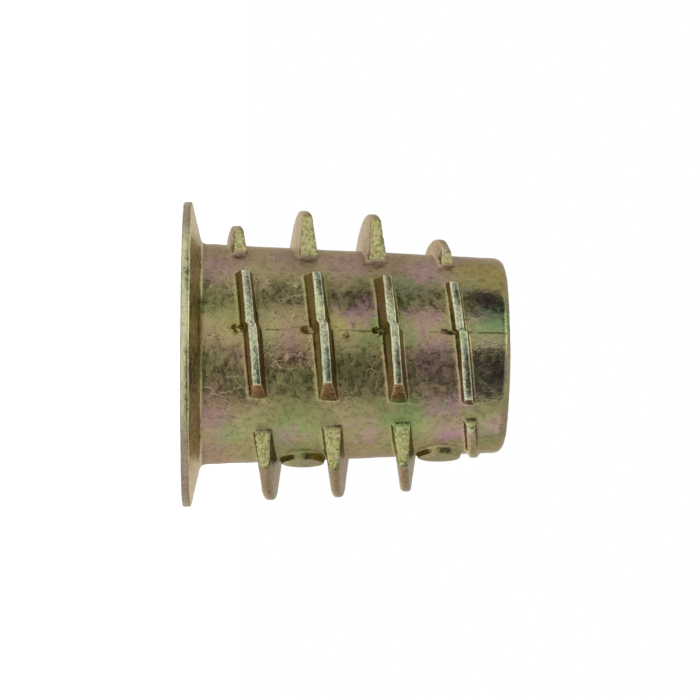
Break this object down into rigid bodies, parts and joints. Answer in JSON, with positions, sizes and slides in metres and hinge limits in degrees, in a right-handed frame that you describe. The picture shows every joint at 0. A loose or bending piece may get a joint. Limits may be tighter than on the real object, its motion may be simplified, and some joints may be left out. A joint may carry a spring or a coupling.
{
  "type": "threaded insert",
  "caption": "Cast zinc insert nut for wood: flanged, tapered body with a coarse interrupted outer thread, a hexagon socket and an M6 screw thread.",
  "frame": {"origin": "centre of the flange's outer face, on the axis", "axes": "+Z along the axis from the flange to the tip; the die's parting plane is x = 0 and the ejector pads are on the +X side"},
  "size_m": [0.0124, 0.0124, 0.013],
  "materials": {
    "yellow_chromate_zinc": "die-cast zinc alloy, zinc plated, with an iridescent olive-yellow chromate film"
  },
  "bodies": {
    "root": {"insert": "yellow_chromate_zinc"}
  },
  "joints": []
}
